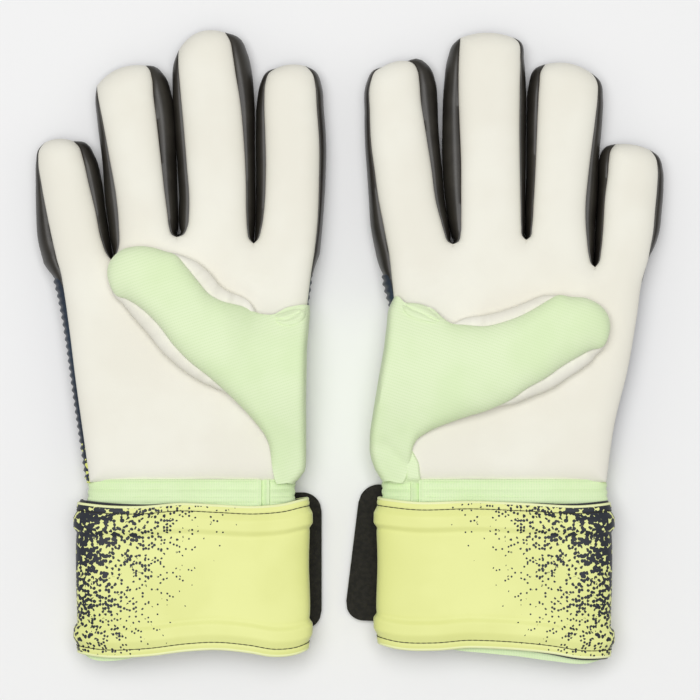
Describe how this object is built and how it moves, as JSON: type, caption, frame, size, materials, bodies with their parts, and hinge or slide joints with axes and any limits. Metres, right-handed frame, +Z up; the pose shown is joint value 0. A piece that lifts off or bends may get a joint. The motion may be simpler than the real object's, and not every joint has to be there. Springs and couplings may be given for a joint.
{
  "type": "goalkeeper gloves",
  "caption": "Pair of goalkeeper gloves lying palm up: latex palms, gusseted finger stalls that flex, thumbs folded over the palms, knitted wristbands and wrap-round hook-and-loop straps.",
  "frame": {"origin": "centre of the pair's footprint, on the surface that the gloves lie on", "axes": "+Z up, out of the palms; +Y from the wrists to the fingertips; +X from the right-hand glove to the left-hand glove"},
  "size_m": [0.2787, 0.2771, 0.0405],
  "materials": {
    "latex": "matte",
    "lining": "matte",
    "lining_dark": "matte",
    "backhand": "matte",
    "gusset": "satin",
    "knit": "matte",
    "strap": "matte",
    "hook_loop": "matte"
  },
  "bodies": {
    "right_hand": {"right_palm_latex": "latex", "right_palm_lining": "lining", "right_backhand": "backhand", "right_back_lining": "lining_dark", "right_thumb_gusset": "knit", "right_wristband": "knit", "right_strap_band": "strap", "right_strap_ribs": "strap", "right_strap_binding": "knit", "right_loop_patch": "hook_loop"},
    "right_thumb": {"right_thumb_latex": "latex", "right_thumb_back": "knit"},
    "right_flap": {"right_strap_flap": "strap", "right_hook_tab": "hook_loop"},
    "right_little": {"right_little_latex": "latex", "right_little_gussets": "gusset", "right_little_back": "backhand"},
    "right_ring": {"right_ring_latex": "latex", "right_ring_gussets": "gusset", "right_ring_back": "backhand"},
    "right_middle": {"right_middle_latex": "latex", "right_middle_gussets": "gusset", "right_middle_back": "backhand"},
    "right_index": {"right_index_latex": "latex", "right_index_gussets": "gusset", "right_index_back": "backhand"},
    "left_hand": {"left_palm_latex": "latex", "left_palm_lining": "lining", "left_backhand": "backhand", "left_back_lining": "lining_dark", "left_thumb_gusset": "knit", "left_wristband": "knit", "left_strap_band": "strap", "left_strap_ribs": "strap", "left_strap_binding": "knit", "left_loop_patch": "hook_loop"},
    "left_thumb": {"left_thumb_latex": "latex", "left_thumb_back": "knit"},
    "left_flap": {"left_strap_flap": "strap", "left_hook_tab": "hook_loop"},
    "left_little": {"left_little_latex": "latex", "left_little_gussets": "gusset", "left_little_back": "backhand"},
    "left_ring": {"left_ring_latex": "latex", "left_ring_gussets": "gusset", "left_ring_back": "backhand"},
    "left_middle": {"left_middle_latex": "latex", "left_middle_gussets": "gusset", "left_middle_back": "backhand"},
    "left_index": {"left_index_latex": "latex", "left_index_gussets": "gusset", "left_index_back": "backhand"}
  },
  "joints": [
    {"name": "right_little_flex", "type": "hinge", "parent": "right_hand", "child": "right_little", "pos_m": [-0.119, 0.0365, 0.0251], "axis": [1, 0, 0], "range_deg": [0, 75]},
    {"name": "right_ring_flex", "type": "hinge", "parent": "right_hand", "child": "right_ring", "pos_m": [-0.0895, 0.0415, 0.0251], "axis": [1, 0, 0], "range_deg": [0, 75]},
    {"name": "right_middle_flex", "type": "hinge", "parent": "right_hand", "child": "right_middle", "pos_m": [-0.0585, 0.04525, 0.0251], "axis": [1, 0, 0], "range_deg": [0, 75]},
    {"name": "right_index_flex", "type": "hinge", "parent": "right_hand", "child": "right_index", "pos_m": [-0.0275, 0.04475, 0.0251], "axis": [1, 0, 0], "range_deg": [0, 75]},
    {"name": "right_thumb_swing", "type": "hinge", "parent": "right_hand", "child": "right_thumb", "pos_m": [-0.0191, -0.0205, 0.0252], "axis": [0, 1, 0], "range_deg": [0, 100], "deforming": ["right_thumb_gusset"]},
    {"name": "right_flap_open", "type": "hinge", "parent": "right_hand", "child": "right_flap", "pos_m": [-0.121, -0.1005, 0.012], "axis": [0, 1, 0], "range_deg": [0, 172]},
    {"name": "left_glove_lift", "type": "slide", "parent": "right_hand", "child": "left_hand", "axis": [0, 0, 1], "range_m": [0, 0.16]},
    {"name": "left_little_flex", "type": "hinge", "parent": "left_hand", "child": "left_little", "pos_m": [0.11975, 0.0365, 0.0251], "axis": [1, 0, 0], "range_deg": [0, 75]},
    {"name": "left_ring_flex", "type": "hinge", "parent": "left_hand", "child": "left_ring", "pos_m": [0.09175, 0.0415, 0.0251], "axis": [1, 0, 0], "range_deg": [0, 75]},
    {"name": "left_middle_flex", "type": "hinge", "parent": "left_hand", "child": "left_middle", "pos_m": [0.06075, 0.04525, 0.0251], "axis": [1, 0, 0], "range_deg": [0, 75]},
    {"name": "left_index_flex", "type": "hinge", "parent": "left_hand", "child": "left_index", "pos_m": [0.02825, 0.04475, 0.0251], "axis": [1, 0, 0], "range_deg": [0, 75]},
    {"name": "left_thumb_swing", "type": "hinge", "parent": "left_hand", "child": "left_thumb", "pos_m": [0.0166, -0.0205, 0.0252], "axis": [0, -1, 0], "range_deg": [0, 100], "deforming": ["left_thumb_gusset"]},
    {"name": "left_flap_open", "type": "hinge", "parent": "left_hand", "child": "left_flap", "pos_m": [0.1185, -0.1005, 0.012], "axis": [0, -1, 0], "range_deg": [0, 172]}
  ]
}
